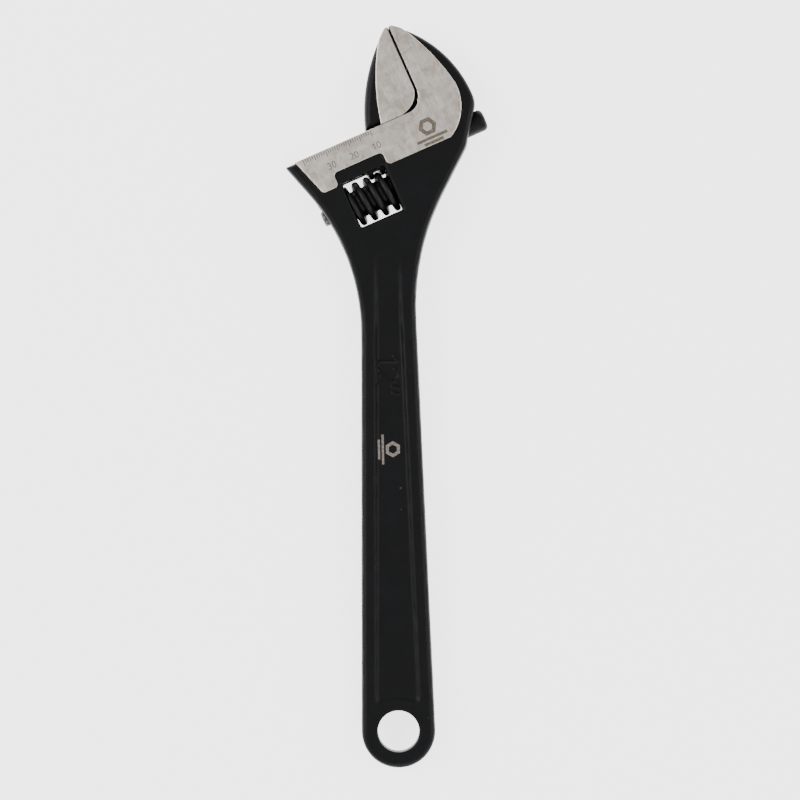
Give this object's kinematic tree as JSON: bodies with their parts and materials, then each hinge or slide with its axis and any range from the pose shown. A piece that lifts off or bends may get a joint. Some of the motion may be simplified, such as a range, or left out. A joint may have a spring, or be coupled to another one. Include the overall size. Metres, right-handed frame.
{
  "type": "adjustable wrench",
  "caption": "Adjustable open-end wrench: forged I-beam handle with a hanging hole, ground head, sliding jaw on a toothed rack, moved by a thumb worm.",
  "frame": {"origin": "centre of the hanging hole, half way through the thickness", "axes": "+Y up the handle to the head, +X across the handle, +Z out of the side with the jaw scale; the jaw slide leans 22.5 degrees from +X towards +Y"},
  "size_m": [0.0836, 0.3047, 0.02],
  "materials": {
    "forging": "black oxide forging with bright ground cheeks",
    "jaw_forging": "black oxide forging with bright ground cheeks",
    "worm_steel": "black oxide, machined",
    "pin_steel": "turned, left bright",
    "spring_steel": "drawn wire"
  },
  "bodies": {
    "frame": {"body": "forging", "worm_pin": "pin_steel", "worm_spring": "spring_steel"},
    "jaw": {"movable_jaw": "jaw_forging"},
    "worm": {"worm": "worm_steel"}
  },
  "joints": [
    {"name": "worm_spin", "type": "hinge", "parent": "frame", "child": "worm", "pos_m": [0.00836, 0.22481, 0], "axis": [0.9239, 0.3827, 0], "range_deg": [0, 2448]},
    {"name": "jaw_slide", "type": "slide", "parent": "frame", "child": "jaw", "axis": [-0.9239, -0.3827, 0], "range_m": [0, 0.034]}
  ],
  "couplings": [
    {"joint": "worm_spin", "follows": "jaw_slide", "rad_per_m": 1256.6}
  ]
}
